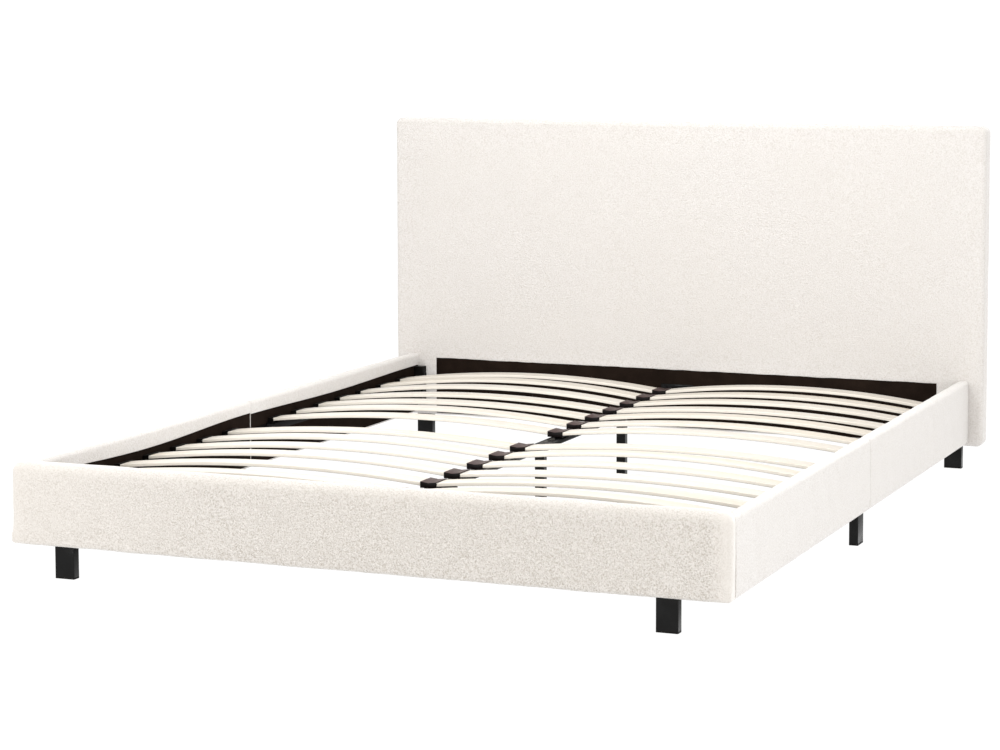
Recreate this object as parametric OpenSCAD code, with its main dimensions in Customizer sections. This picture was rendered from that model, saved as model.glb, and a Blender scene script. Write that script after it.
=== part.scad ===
// Upholstered bed with a flat headboard, a padded box frame and a sprung slat base.
// Millimetres. Origin: on the floor under the middle of the bed; +Y points to the headboard.

/* [Mattress] */
// Width of the mattress that the frame takes
mattress_w = 1600; // [1400:10:2000]
// Length of the mattress that the frame takes
mattress_l = 2000; // [1900:10:2200]
// Free space beside the mattress, on each side
side_gap = 5; // [2:1:20]
// Free space past the mattress, at each end
end_gap = 25; // [15:1:40]

/* [Rails and footboard] */
// Height of the rails' lower edge above the floor
rail_z = 70; // [60:1:150]
// Height of a side rail with its cover
rail_h = 173; // [160:1:240]
// Height by which the footboard stands above the side rails
foot_rise = 10; // [0:1:30]
// Thickness of the boards in the rails and the footboard
board_t = 18; // [16:1:25]
// Padding on the outer faces
pad_out = 9; // [5:1:15]
// Padding over the top and lower edges
pad_edge = 5; // [4:1:8]
// Fabric turned in over the inner faces
pad_in = 3; // [2:0.5:4]
// Depth of the fabric turned in below a rail's top
turn_in = 36; // [25:1:50]
// Edge rounding of the padded rails and footboard
edge_round = 8; // [4:1:9]
// Rounding of the footboard's upper corners, seen from the foot
foot_corner = 24; // [12:1:40]
// Thickness of the black lining cloth
lining_t = 1; // [0.5:0.5:2]
// Free space between each end of the headboard's lining and the rail beside it
lining_margin = 58; // [50:1:80]

/* [Headboard] */
// Length by which the headboard reaches past each side rail
head_overhang = 40; // [0:5:200]
// Height of the headboard's top above the floor
head_top = 933; // [700:10:1300]
// Thickness of the headboard
head_t = 60; // [50:1:90]
// Height by which the headboard reaches below the side rails
head_drop = 6; // [0:1:20]
// Foam and fabric on the headboard's front
head_pad = 12; // [8:1:20]
// Foam and fabric round the headboard's edge
head_edge = 8; // [7:1:15]
// Thickness of the headboard's front panel
head_panel_t = 12; // [9:1:18]
// Width of the battens behind the panel
batten_w = 45; // [40:1:60]
// Rounding of the headboard's padded edges
head_round = 13; // [6:1:16]
// Rounding of the headboard's corners, seen from the foot
head_corner = 19; // [16:1:24]
// Depth of the headboard's lining below the rails' top
head_lining_drop = 10; // [0:1:30]
// Width of the fabric turned in over the headboard's back
back_turn_in = 40; // [30:1:80]
// Thickness of the fabric turned in over the headboard's back
back_turn_t = 2; // [1:0.5:3]
// Free width between the back cloth and the headboard's edges
back_cloth_margin = 22; // [16:1:26]

/* [Slats] */
// Number of slats from the middle of the bed to one end
slats_per_half = 7; // [5:1:7]
// Width of a slat
slat_w = 53; // [38:1:60]
// Thickness of a slat
slat_t = 8; // [6:0.5:10]
// Rise of a slat's arch
slat_rise = 28; // [15:1:34]
// Distance between the two slats either side of the bed's middle
middle_pitch = 243; // [180:1:300]
// Depth of the slats' outer ends below the rails' top
slat_drop = 59; // [50:1:70]
// Height of the slats' inner ends above their outer ends
inner_lift = 8; // [0:1:15]

/* [Slat caps] */
// Wall of the moulded caps
cap_wall = 1.7; // [1.2:0.1:2.5]
// Space round a slat in its cap
cap_gap = 0.3; // [0.2:0.05:0.5]
// Depth of a cap at the rail, from its mouth to its back
side_cap_d = 16; // [12:1:25]
// Width of a double cap on the beam, from mouth to mouth
centre_cap_d = 40; // [30:1:60]
// Wall between the two pockets of a double cap
cap_web = 3.4; // [2:0.1:6]
// Height of the collar that lifts a double cap off the beam
collar_h = 4; // [2:1:12]
// Diameter of the collar under a double cap
collar_d = 24; // [18:1:36]
// Diameter of the studs under the double caps
centre_stud_d = 10; // [8:0.5:12]
// Diameter of the studs under the caps at the rails
side_stud_d = 7; // [5:0.5:8]
// Diametral play of a stud in its hole
stud_play = 0.4; // [0.2:0.1:0.6]

/* [Slat base steelwork] */
// Width of the centre beam
beam_w = 42; // [38:1:60]
// Height of the centre beam
beam_h = 10; // [9:1:30]
// Wall of the centre beam
beam_wall = 1.5; // [1:0.1:2.5]
// Free space between the bar in the beam's joint and the nearest cap's stud
joiner_space = 26; // [10:1:60]
// Play between the joint bar and the beam, on each side
joiner_play = 0.2; // [0.1:0.05:0.4]
// Sheet thickness of the ledges, hangers and joint plates
sheet_t = 2.5; // [2:0.5:4]
// Width of each leaf of the slat ledges
ledge_w = 26; // [24:1:40]
// Depth of the shelf that carries each end of the beam
hanger_d = 30; // [20:1:50]
// Length by which a ledge reaches past its last cap, towards the rail joint
ledge_reach = 8; // [4:1:20]
// Free space between a ledge and the plate beside it
plate_space = 5; // [2:1:10]
// Height of the plates that join the rail halves
joint_plate_h = 28; // [24:1:40]

/* [Corner blocks and bolts] */
// Side of the square corner blocks
block_w = 27; // [24:1:40]
// Height of the corner blocks
block_h = 110; // [90:1:130]
// Diameter of the bolts
bolt_d = 8; // [6:1:8]
// Diametral play of a bolt in its hole
bolt_play = 0.6; // [0.3:0.1:1]
// Diameter of a bolt's head
bolt_head_d = 14; // [13:1:18]
// Height of a bolt's head
bolt_head_h = 4; // [3:0.5:6]
// Wood left in front of a bolt's tip in the rails and the footboard
bolt_tip_gap = 4; // [3:0.5:6]
// Depth of the bolts in the headboard's uprights
batten_grip = 20; // [12:1:24]

/* [Legs] */
// Width of a leg
leg_w = 48; // [40:1:60]
// Depth of a leg
leg_d = 22; // [20:1:28]
// Wall of the leg tube
leg_wall = 1.5; // [1:0.1:2.5]
// Distance from a side rail's outer face to the middle of a front leg
front_leg_side = 135; // [40:5:400]
// Distance from the footboard's front to the front of a leg
front_leg_inset = 3; // [2:0.5:4]
// Distance from a side rail's outer face to the middle of a rear leg
rear_leg_side = 44; // [30:1:300]
// Distance from the headboard's front to the front of a rear leg
rear_leg_inset = 13; // [13:1:20]
// Distance from the rail joint to the leg beside it
middle_leg_offset = 51; // [40:1:150]
// Distance between the legs of the centre beam
centre_leg_pitch = 575; // [400:5:800]
// Width of a leg of the centre beam
centre_leg_w = 25; // [20:1:36]
// Depth of a leg of the centre beam
centre_leg_d = 20; // [18:1:30]
// Height of the plastic glides that show under the legs
glide_h = 4; // [2:0.5:8]

/* [Hidden] */
$fn = 48;
// Facets of a slat's long arcs, fine enough for a radius of about three metres
arc_fn = 720;
// Facets of the padded corners
pad_fn = 32;
// Length by which cuts run past the faces they open
eps = 1;
// Difference between the corner radii of a board and of the cover round it
corner_ease = 1;
// Width of the hexagonal socket in a bolt's head, across its corners
socket_d = 5.6;

slat_numbers = [for (i = [1 : 2 * slats_per_half]) i];
slat_names = [for (side = ["left", "right"], i = slat_numbers) str("slat_", side, "_", i < 10 ? "0" : "", i)];
NODES = concat([
    "headboard_panel", "headboard_cross_battens", "headboard_uprights", "headboard_upholstery",
    "headboard_lining", "headboard_back_cloth", "footboard_board", "footboard_upholstery",
    "footboard_lining", "rail_board_left_front", "rail_board_left_rear", "rail_board_right_front",
    "rail_board_right_rear", "rail_upholstery_left_front", "rail_upholstery_left_rear",
    "rail_upholstery_right_front", "rail_upholstery_right_rear", "rail_linings", "slat_ledges",
    "rail_joint_plates", "corner_blocks", "frame_bolts", "centre_beam_front", "centre_beam_rear",
    "beam_joiner", "beam_hangers", "centre_slat_caps", "side_slat_caps", "corner_legs",
    "middle_legs", "centre_legs", "leg_glides"], slat_names);
node = "all";

// Colours
cloth_white = [0.94, 0.92, 0.89];
lining_black = [0.12, 0.10, 0.09];
steel_black = [0.13, 0.13, 0.13];
board_brown = [0.72, 0.58, 0.42];
pine = [0.86, 0.74, 0.55];
birch = [0.97, 0.93, 0.84];
cap_brown = [0.20, 0.15, 0.14];
plastic_black = [0.06, 0.06, 0.06];

// Main places
inner_w = mattress_w + 2 * side_gap;
inner_l = mattress_l + 2 * end_gap;
rail_t = pad_out + board_t + pad_in;
total_l = rail_t + inner_l + head_t;
x_in = inner_w / 2;
x_out = x_in + rail_t;
x_lining = x_in + pad_in - lining_t;
y_foot = -total_l / 2;
y_foot_in = y_foot + rail_t;
y_foot_lining = y_foot_in - pad_in + lining_t;
y_head = y_foot_in + inner_l;
y_back = total_l / 2;
y_mid = (y_foot_in + y_head) / 2;
rail_top = rail_z + rail_h;
foot_top = rail_top + foot_rise;
lining_top = rail_top - turn_in;
lining_half_w = x_in - lining_margin;
head_z = rail_z - head_drop;
board_h = rail_h - 2 * pad_edge;
cover_end = 2;

// Slat base
slat_pitch = (inner_l - middle_pitch) / (2 * slats_per_half);
slat_out_z = rail_top - slat_drop;
slat_in_z = slat_out_z + inner_lift;
slat_out_x = x_lining - cap_wall - cap_gap;
slat_in_x = cap_web / 2 + cap_gap;
slat_run = slat_out_x - slat_in_x;
slat_tilt = atan(inner_lift / slat_run);
slat_len = norm([slat_run, inner_lift]);
slat_r = slat_len * slat_len / 8 / slat_rise + slat_rise / 2;
slat_end_angle = asin(slat_len / 2 / slat_r);
cap_w = slat_w + 2 * cap_gap + 2 * cap_wall;
ledge_z = slat_out_z - slat_t - cap_gap - cap_wall;
cap_base_z = slat_in_z - slat_t - cap_gap - cap_wall;
beam_top = cap_base_z - collar_h;
beam_z = beam_top - beam_h;
side_stud_x = x_lining - side_cap_d / 2 - cap_wall;
stud_reach = 5;
bolt_hole_d = bolt_d + bolt_play;
joint_plate_top = ledge_z - sheet_t;
ledge_start = middle_pitch / 2 - cap_w / 2 - ledge_reach;
joint_plate_l = 2 * (ledge_start - plate_space);
joiner_l = middle_pitch - centre_stud_d - 2 * joiner_space;

// Centre of slat number i, counted from the foot
function slat_y(i) = i <= slats_per_half
    ? y_mid - middle_pitch / 2 - (slats_per_half - i) * slat_pitch
    : y_mid + middle_pitch / 2 + (i - slats_per_half - 1) * slat_pitch;

// ---- helpers ----

// Places its child on the right side, or mirrored on the left
module on_side(side) {
    if (side > 0) children();
    else mirror([1, 0, 0]) children();
}

module both_sides() {
    for (side = [-1, 1]) on_side(side) children();
}

// Rectangle from the origin with rounded corners
module round_rect(size, r) {
    translate([r, 0]) square([size.x - 2 * r, size.y]);
    translate([0, r]) square([size.x, size.y - 2 * r]);
    for (x = [r, size.x - r], y = [r, size.y - r]) translate([x, y]) circle(r = r);
}

// Extrudes an outline drawn in X and Z from y0 to y1
module along_y(y0, y1) {
    translate([0, y1, 0]) rotate([90, 0, 0]) linear_extrude(y1 - y0) children();
}

module hole_x(d, x0, x1) {
    translate([x0, 0, 0]) rotate([0, 90, 0]) cylinder(d = d, h = x1 - x0);
}

module hole_y(d, y0, y1) {
    translate([0, y1, 0]) rotate([90, 0, 0]) cylinder(d = d, h = y1 - y0);
}

// Socket-head bolt along +Z, with its head's seat at z = 0
module bolt(reach) {
    difference() {
        union() {
            cylinder(d = bolt_d, h = reach);
            translate([0, 0, -bolt_head_h]) cylinder(d = bolt_head_d, h = bolt_head_h);
        }
        translate([0, 0, -bolt_head_h - eps]) cylinder(d = socket_d, h = bolt_head_h, $fn = 6);
    }
}

// Disc with rounded rims, standing in the XZ plane, from y = 0 to y = t
module pad_disc(r, t, rim) {
    rotate([-90, 0, 0]) rotate_extrude($fn = pad_fn) intersection() {
        translate([-r, 0]) round_rect([2 * r, t], rim, $fn = pad_fn);
        square([r, t]);
    }
}

// ---- bolt places, shared by the bolts and the holes they pass through ----

block_z = lining_top - block_h;
block_x = x_lining - block_w / 2;
// Four bolts evenly spaced up a block: the outer two along X, the inner two along Y
block_bolt_pitch = block_h / 5;
along_x_bolt_z = [block_z + block_bolt_pitch, block_z + 4 * block_bolt_pitch];
along_y_bolt_z = [block_z + 2 * block_bolt_pitch, block_z + 3 * block_bolt_pitch];
block_ys = [y_foot_in + block_w / 2, y_head - block_w / 2];
rail_bolt_reach = block_w + lining_t + board_t - bolt_tip_gap;
foot_bolt_reach = block_w + pad_in + board_t - bolt_tip_gap;
head_bolt_reach = block_w + head_pad + head_panel_t + batten_grip;
plate_bolt_reach = sheet_t + lining_t + board_t - bolt_tip_gap;
plate_bolt_z = joint_plate_top - joint_plate_h / 2;
plate_bolt_pitch = joint_plate_l / 5;
plate_bolt_ys = [for (step = [-2, -1, 1, 2]) y_mid + step * plate_bolt_pitch];
hanger_margin = 5;
hanger_bolt_x = beam_w / 2 + sheet_t + bolt_head_d / 2 + hanger_margin;
hanger_w = 2 * hanger_bolt_x + bolt_head_d + 2 * hanger_margin;
hanger_h = bolt_head_d + 2 * hanger_margin + sheet_t;
hanger_z = beam_z - sheet_t;
hanger_bolt_z = hanger_z + hanger_h / 2;
hanger_foot_reach = sheet_t + lining_t + board_t - bolt_tip_gap;
hanger_head_reach = sheet_t + head_pad + head_panel_t + batten_grip;
hole_spare = 2;

// Holes along X in the rails' boards, on the right side
module rail_bolt_holes(front) {
    ys = front ? [block_ys[0]] : [block_ys[1]];
    for (y = ys, z = along_x_bolt_z) translate([0, y, z])
        hole_x(bolt_hole_d, x_lining - eps, x_lining - block_w + rail_bolt_reach + hole_spare);
    for (y = plate_bolt_ys) if ((y < y_mid) == front) translate([0, y, plate_bolt_z])
        hole_x(bolt_hole_d, x_lining - eps, x_lining - sheet_t + plate_bolt_reach + hole_spare);
}

// Holes along Y into the headboard
module head_bolt_holes() {
    both_sides() for (z = along_y_bolt_z) translate([block_x, 0, z])
        hole_y(bolt_hole_d, y_head - eps, y_head - block_w + head_bolt_reach + hole_spare);
    both_sides() translate([hanger_bolt_x, 0, hanger_bolt_z])
        hole_y(bolt_hole_d, y_head - eps, y_head - sheet_t + hanger_head_reach + hole_spare);
}

// Holes along Y into the footboard
module foot_bolt_holes() {
    both_sides() for (z = along_y_bolt_z) translate([block_x, 0, z])
        hole_y(bolt_hole_d, y_foot_in + block_w - foot_bolt_reach - hole_spare, y_foot_in + eps);
    both_sides() translate([hanger_bolt_x, 0, hanger_bolt_z])
        hole_y(bolt_hole_d, y_foot_lining + sheet_t - hanger_foot_reach - hole_spare, y_foot_lining + eps);
}

// ---- headboard ----

head_w = 2 * (x_out + head_overhang);
head_cavity_w = head_w - 2 * head_edge;
head_cavity_z = head_z + head_edge;
head_cavity_h = head_top - head_z - 2 * head_edge;
head_board_y = y_head + head_pad;
batten_y = head_board_y + head_panel_t;
cover_back_y = y_back - lining_t;
batten_d = cover_back_y - back_turn_t - batten_y;
side_upright_w = head_cavity_w / 2 - (x_in - block_w - batten_w / 2);

// Outline of the frame in the headboard's cover, from y0 to y1; the cover's cavity is less rounded
module head_cavity(y0, y1, ease = 0) {
    along_y(y0, y1) translate([-head_cavity_w / 2, head_cavity_z])
        round_rect([head_cavity_w, head_cavity_h], head_corner - head_edge - ease);
}

module headboard_panel() {
    color(board_brown) difference() {
        head_cavity(head_board_y, batten_y);
        head_bolt_holes();
    }
}

// Top and bottom battens
module headboard_cross_battens() {
    color(pine) difference() {
        intersection() {
            head_cavity(batten_y, batten_y + batten_d);
            for (z = [head_cavity_z, head_cavity_z + head_cavity_h - batten_w])
                translate([-head_w / 2, batten_y - eps, z]) cube([head_w, batten_d + 2 * eps, batten_w]);
        }
        rear_leg_stud_holes();
    }
}

// Wide uprights behind the side rails, and narrow ones between them
module headboard_uprights() {
    inner_span = head_cavity_w - 2 * side_upright_w;
    h = head_cavity_h - 2 * batten_w;
    z = head_cavity_z + batten_w;
    color(pine) difference() {
        union() {
            for (x = [-head_cavity_w / 2, head_cavity_w / 2 - side_upright_w])
                translate([x, batten_y, z]) cube([side_upright_w, batten_d, h]);
            for (x = [-inner_span / 4, inner_span / 4])
                translate([x - batten_w / 2, batten_y, z]) cube([batten_w, batten_d, h]);
            translate([-hanger_w / 2, batten_y, z]) cube([hanger_w, batten_d, h]);
        }
        head_bolt_holes();
    }
}

module headboard_upholstery() {
    color(cloth_white) difference() {
        hull() for (x = [-1, 1], z = [head_z + head_corner, head_top - head_corner])
            translate([x * (head_w / 2 - head_corner), y_head, z])
                pad_disc(head_corner, head_t - lining_t, head_round);
        head_cavity(head_board_y, cover_back_y - back_turn_t, corner_ease);
        back_panel(back_turn_in, batten_y, y_back + eps);
        translate([-lining_half_w, y_head - eps, rail_z])
            cube([2 * lining_half_w, lining_t + eps, rail_h - head_lining_drop]);
        head_bolt_holes();
        rear_leg_stud_holes();
    }
}

module headboard_lining() {
    color(lining_black) difference() {
        translate([-lining_half_w, y_head, rail_z])
            cube([2 * lining_half_w, lining_t, rail_h - head_lining_drop]);
        head_bolt_holes();
    }
}

// Rectangle behind the headboard, inset by the given margin from its edges
module back_panel(margin, y0, y1) {
    translate([-head_w / 2 + margin, y0, head_z + margin])
        cube([head_w - 2 * margin, y1 - y0, head_top - head_z - 2 * margin]);
}

module headboard_back_cloth() {
    color(lining_black) back_panel(back_cloth_margin, cover_back_y, y_back);
}

// ---- footboard ----

foot_board_y = y_foot + pad_out;
foot_board_h = foot_top - rail_z - 2 * pad_edge;
foot_bottom_corner = 12;

module foot_cavity(ease = 0) {
    along_y(foot_board_y, foot_board_y + board_t) translate([-x_out + pad_edge, rail_z + pad_edge])
        round_rect([2 * (x_out - pad_edge), foot_board_h], foot_corner - pad_edge - ease);
}

module footboard_board() {
    color(board_brown) difference() {
        foot_cavity();
        foot_bolt_holes();
        front_leg_stud_holes();
    }
}

module footboard_upholstery() {
    color(cloth_white) difference() {
        hull() for (x = [-1, 1]) {
            translate([x * (x_out - foot_corner), y_foot, foot_top - foot_corner])
                pad_disc(foot_corner, rail_t, edge_round);
            translate([x * (x_out - foot_bottom_corner), y_foot, rail_z + foot_bottom_corner])
                pad_disc(foot_bottom_corner, rail_t, edge_round);
        }
        foot_cavity(corner_ease);
        translate([-lining_half_w, y_foot_in - pad_in, rail_z - eps])
            cube([2 * lining_half_w, pad_in + eps, lining_top - rail_z + eps]);
        foot_bolt_holes();
        front_leg_stud_holes();
    }
}

module footboard_lining() {
    color(lining_black) difference() {
        translate([-lining_half_w, y_foot_in - pad_in, rail_z + pad_edge])
            cube([2 * lining_half_w, lining_t, lining_top - rail_z - pad_edge]);
        foot_bolt_holes();
    }
}

// ---- side rails, each in a front and a rear half ----

function half_y0(front) = front ? y_foot_in : y_mid;
function half_y1(front) = front ? y_mid : y_head;

// Outline of a padded rail, with the inner face open below the turned-in fabric
module rail_outline() {
    translate([x_in, rail_z]) difference() {
        round_rect([rail_t, rail_h], edge_round);
        translate([-eps, -eps]) square([pad_in + eps, rail_h - turn_in + eps]);
    }
}

module rail_board_outline() {
    translate([x_in + pad_in, rail_z + pad_edge]) square([board_t, board_h]);
}

module rail_board(side, front) {
    y0 = front ? half_y0(front) : half_y0(front) + cover_end;
    y1 = front ? half_y1(front) - cover_end : half_y1(front);
    color(board_brown) on_side(side) difference() {
        along_y(y0, y1) rail_board_outline();
        rail_bolt_holes(front);
        if (front) middle_leg_stud_hole();
    }
}

module rail_upholstery(side, front) {
    end_y0 = front ? y_mid - cover_end : y_mid;
    color(cloth_white) on_side(side) difference() {
        union() {
            along_y(half_y0(front), half_y1(front)) difference() {
                rail_outline();
                rail_board_outline();
            }
            along_y(end_y0, end_y0 + cover_end) rail_outline();
        }
        if (front) middle_leg_stud_hole();
    }
}

// Black cloth on the rails' inner faces; it stops short of the joint between the halves
module rail_linings() {
    joint_gap = 4;
    color(lining_black) both_sides() for (front = [false, true]) difference() {
        y0 = front ? half_y0(front) : half_y0(front) + joint_gap;
        y1 = front ? half_y1(front) - joint_gap : half_y1(front);
        translate([x_lining, y0, rail_z + pad_edge])
            cube([lining_t, y1 - y0, lining_top - rail_z - pad_edge]);
        rail_bolt_holes(front);
    }
}

// Angle that carries the caps; the leaf under the caps has a hole for each stud
module slat_ledges() {
    color(steel_black) both_sides() for (front = [false, true]) {
        corner_space = block_w + bolt_head_h + plate_space;
        y0 = front ? y_foot_in + corner_space : y_mid + ledge_start;
        y1 = front ? y_mid - ledge_start : y_head - corner_space;
        difference() {
            along_y(y0, y1) translate([x_lining - ledge_w, ledge_z - ledge_w]) difference() {
                square([ledge_w, ledge_w]);
                translate([-eps, -eps])
                    square([ledge_w - sheet_t + eps, ledge_w - sheet_t + eps]);
            }
            for (i = slat_numbers) translate([side_stud_x, slat_y(i), ledge_z - ledge_w])
                cylinder(d = side_stud_d + stud_play, h = ledge_w + eps);
        }
    }
}

module rail_joint_plates() {
    color(steel_black) both_sides() difference() {
        translate([x_lining - sheet_t, y_mid - joint_plate_l / 2, joint_plate_top - joint_plate_h])
            cube([sheet_t, joint_plate_l, joint_plate_h]);
        for (y = plate_bolt_ys) translate([0, y, plate_bolt_z])
            hole_x(bolt_hole_d, x_lining - sheet_t - eps, x_lining + eps);
    }
}

module corner_blocks() {
    color(lining_black) both_sides() for (y = block_ys) difference() {
        translate([block_x - block_w / 2, y - block_w / 2, block_z])
            cube([block_w, block_w, block_h]);
        for (z = along_x_bolt_z) translate([0, y, z])
            hole_x(bolt_hole_d, x_lining - block_w - eps, x_lining + eps);
        for (z = along_y_bolt_z) translate([block_x, 0, z])
            hole_y(bolt_hole_d, y - block_w / 2 - eps, y + block_w / 2 + eps);
    }
}

module frame_bolts() {
    color(steel_black) both_sides() {
        for (y = block_ys, z = along_x_bolt_z) translate([x_lining - block_w, y, z])
            rotate([0, 90, 0]) bolt(rail_bolt_reach);
        for (y = plate_bolt_ys) translate([x_lining - sheet_t, y, plate_bolt_z])
            rotate([0, 90, 0]) bolt(plate_bolt_reach);
        for (z = along_y_bolt_z) {
            translate([block_x, y_head - block_w, z]) rotate([-90, 0, 0]) bolt(head_bolt_reach);
            translate([block_x, y_foot_in + block_w, z]) rotate([90, 0, 0]) bolt(foot_bolt_reach);
        }
        translate([hanger_bolt_x, y_head - sheet_t, hanger_bolt_z])
            rotate([-90, 0, 0]) bolt(hanger_head_reach);
        translate([hanger_bolt_x, y_foot_lining + sheet_t, hanger_bolt_z])
            rotate([90, 0, 0]) bolt(hanger_foot_reach);
    }
}

// ---- centre beam ----

beam_end_gap = 1;
beam_y0 = y_foot_lining + sheet_t + beam_end_gap;
beam_y1 = y_head - sheet_t - beam_end_gap;
beam_corner = 3;
joiner_side_space = 1;

module beam_tube(y0, y1) {
    color(steel_black) difference() {
        along_y(y0, y1) translate([-beam_w / 2, beam_z]) difference() {
            round_rect([beam_w, beam_h], beam_corner);
            translate([beam_wall, beam_wall])
                round_rect([beam_w - 2 * beam_wall, beam_h - 2 * beam_wall], beam_corner - beam_wall);
        }
        for (i = slat_numbers) translate([0, slat_y(i), beam_top - beam_wall - eps])
            cylinder(d = centre_stud_d + stud_play, h = beam_wall + 2 * eps);
        centre_leg_stud_holes();
    }
}

module centre_beam_front() { beam_tube(beam_y0, y_mid); }

module centre_beam_rear() { beam_tube(y_mid, beam_y1); }

// Bar that slides into both halves of the beam and carries their joint
module beam_joiner() {
    inset = beam_wall + joiner_play;
    color(steel_black) difference() {
        translate([-beam_w / 2 + inset + joiner_side_space, y_mid - joiner_l / 2, beam_z + inset])
            cube([beam_w - 2 * (inset + joiner_side_space), joiner_l, beam_h - 2 * inset]);
        centre_leg_stud_holes();
    }
}

// Bracket on the headboard and the footboard, with a shelf and two cheeks for the beam's end
module beam_hanger() {
    pocket_w = beam_w + 2 * joiner_play;
    pocket_out = pocket_w + 2 * sheet_t;
    difference() {
        union() {
            translate([-hanger_w / 2, -sheet_t, hanger_z]) cube([hanger_w, sheet_t, hanger_h]);
            translate([-pocket_out / 2, -hanger_d, hanger_z])
                cube([pocket_out, hanger_d, sheet_t + beam_h]);
        }
        translate([-pocket_w / 2, -hanger_d - eps, beam_z])
            cube([pocket_w, hanger_d + eps - sheet_t, beam_h + eps]);
        for (x = [-hanger_bolt_x, hanger_bolt_x]) translate([x, 0, hanger_bolt_z])
            hole_y(bolt_hole_d, -sheet_t - eps, eps);
    }
}

module beam_hangers() {
    color(steel_black) {
        translate([0, y_head, 0]) beam_hanger();
        translate([0, y_foot_lining, 0]) mirror([0, 1, 0]) beam_hanger();
    }
}

// ---- slats and their caps ----

// Side view of a slat on the right
module slat_arc() {
    translate([(slat_in_x + slat_out_x) / 2, (slat_in_z + slat_out_z) / 2]) rotate(-slat_tilt)
        intersection() {
            translate([0, slat_rise - slat_r]) difference() {
                circle(r = slat_r, $fn = arc_fn);
                circle(r = slat_r - slat_t, $fn = arc_fn);
            }
            translate([-slat_len / 2, -slat_rise]) square([slat_len, 3 * slat_rise]);
        }
}

module slat(side, i) {
    color(birch) on_side(side) along_y(slat_y(i) - slat_w / 2, slat_y(i) + slat_w / 2) slat_arc();
}

// Strip that runs along a slat's end, between two heights over the slat's upper face
module end_strip(inner, low, high) {
    reach = 2 * (centre_cap_d + side_cap_d);
    end = inner ? [slat_in_x, slat_in_z] : [slat_out_x, slat_out_z];
    angle = inner ? slat_end_angle - slat_tilt : -slat_end_angle - slat_tilt;
    translate(end) rotate(angle) translate([-reach / 2, low]) square([reach, high - low]);
}

// Side view of a cap from x0 to x1: flat below, sloping with the slat above
module cap_outline(inner, x0, x1, base_z) {
    intersection() {
        end_strip(inner, -4 * slat_t, cap_gap + cap_wall);
        translate([x0, base_z]) square([x1 - x0, 4 * slat_t]);
    }
}

// Space for a slat's end, from x0 to x1
module slat_pocket(inner, x0, x1) {
    pocket_w = slat_w + 2 * cap_gap;
    along_y(-pocket_w / 2, pocket_w / 2) intersection() {
        end_strip(inner, -slat_t - cap_gap, cap_gap);
        translate([x0, ledge_z - slat_t]) square([x1 - x0, 6 * slat_t]);
    }
}

// Two pockets back to back, on a collar with a stud that snaps into the beam
module centre_slat_cap() {
    difference() {
        union() {
            for (side = [-1, 1]) on_side(side)
                along_y(-cap_w / 2, cap_w / 2) cap_outline(true, 0, centre_cap_d / 2, cap_base_z);
            translate([0, 0, beam_top]) cylinder(d = collar_d, h = collar_h + eps);
            translate([0, 0, beam_top - stud_reach]) cylinder(d = centre_stud_d, h = stud_reach + eps);
        }
        for (side = [-1, 1]) on_side(side)
            slat_pocket(true, slat_in_x - cap_gap, centre_cap_d / 2 + eps);
    }
}

module centre_slat_caps() {
    color(cap_brown) for (i = slat_numbers) translate([0, slat_y(i), 0]) centre_slat_cap();
}

// One pocket with a closed back against the rail, on a stud through the ledge
module side_slat_cap() {
    difference() {
        union() {
            along_y(-cap_w / 2, cap_w / 2)
                cap_outline(false, x_lining - side_cap_d, x_lining, ledge_z);
            translate([side_stud_x, 0, ledge_z - stud_reach])
                cylinder(d = side_stud_d, h = stud_reach + eps);
        }
        slat_pocket(false, x_lining - side_cap_d - eps, slat_out_x + cap_gap);
    }
}

module side_slat_caps() {
    color(plastic_black) both_sides() for (i = slat_numbers) translate([0, slat_y(i), 0]) side_slat_cap();
}

// ---- legs ----

leg_stud_d = 8;
leg_stud_play = 0.4;
leg_stud_h = 30;
stud_edge_space = 2;
leg_corner = 2;
leg_plate_t = 3;
beam_stud_d = 6;
plug_h = 10;
plug_play = 0.2;
front_leg_x = x_out - front_leg_side;
rear_leg_x = x_out - rear_leg_side;
front_leg_y = y_foot + front_leg_inset + leg_d / 2;
front_stud_y = foot_board_y + board_t / 2;
rear_leg_y = y_head + rear_leg_inset + leg_d / 2;
rear_stud_y = batten_y + leg_stud_d / 2 + stud_edge_space;
middle_leg_x = x_in + pad_in + board_t / 2;
middle_leg_y = y_mid - middle_leg_offset;
centre_leg_ys = [y_mid - centre_leg_pitch, y_mid, y_mid + centre_leg_pitch];
beam_stud_space = 3;
beam_stud_dy = centre_leg_d / 2 + beam_stud_d / 2 + beam_stud_space;
beam_stud_h = beam_h - stud_reach - 1;
plate_margin = 5;
centre_plate_l = 2 * (beam_stud_dy + beam_stud_d / 2 + plate_margin);

module stud_hole(z) {
    translate([0, 0, z - eps]) cylinder(d = leg_stud_d + leg_stud_play, h = leg_stud_h + hole_spare + eps);
}

module front_leg_stud_holes() {
    both_sides() translate([front_leg_x, front_stud_y, 0]) stud_hole(rail_z);
}

module rear_leg_stud_holes() {
    both_sides() translate([rear_leg_x, rear_stud_y, 0]) stud_hole(head_z);
}

module middle_leg_stud_hole() {
    translate([middle_leg_x, middle_leg_y, 0]) stud_hole(rail_z);
}

module centre_leg_stud_holes() {
    for (y = centre_leg_ys, s = [-1, 1]) translate([0, y + s * beam_stud_dy, beam_z - eps])
        cylinder(d = beam_stud_d + leg_stud_play, h = beam_stud_h + 2 * eps);
}

// Tube with a closed top, standing on its glide
module leg_tube(size, top) {
    translate([-size.x / 2, -size.y / 2, glide_h]) difference() {
        linear_extrude(top - glide_h) round_rect(size, leg_corner);
        translate([leg_wall, leg_wall, -eps]) linear_extrude(top - glide_h - leg_plate_t + eps)
            round_rect([size.x - 2 * leg_wall, size.y - 2 * leg_wall], leg_corner - leg_wall);
    }
}

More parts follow.
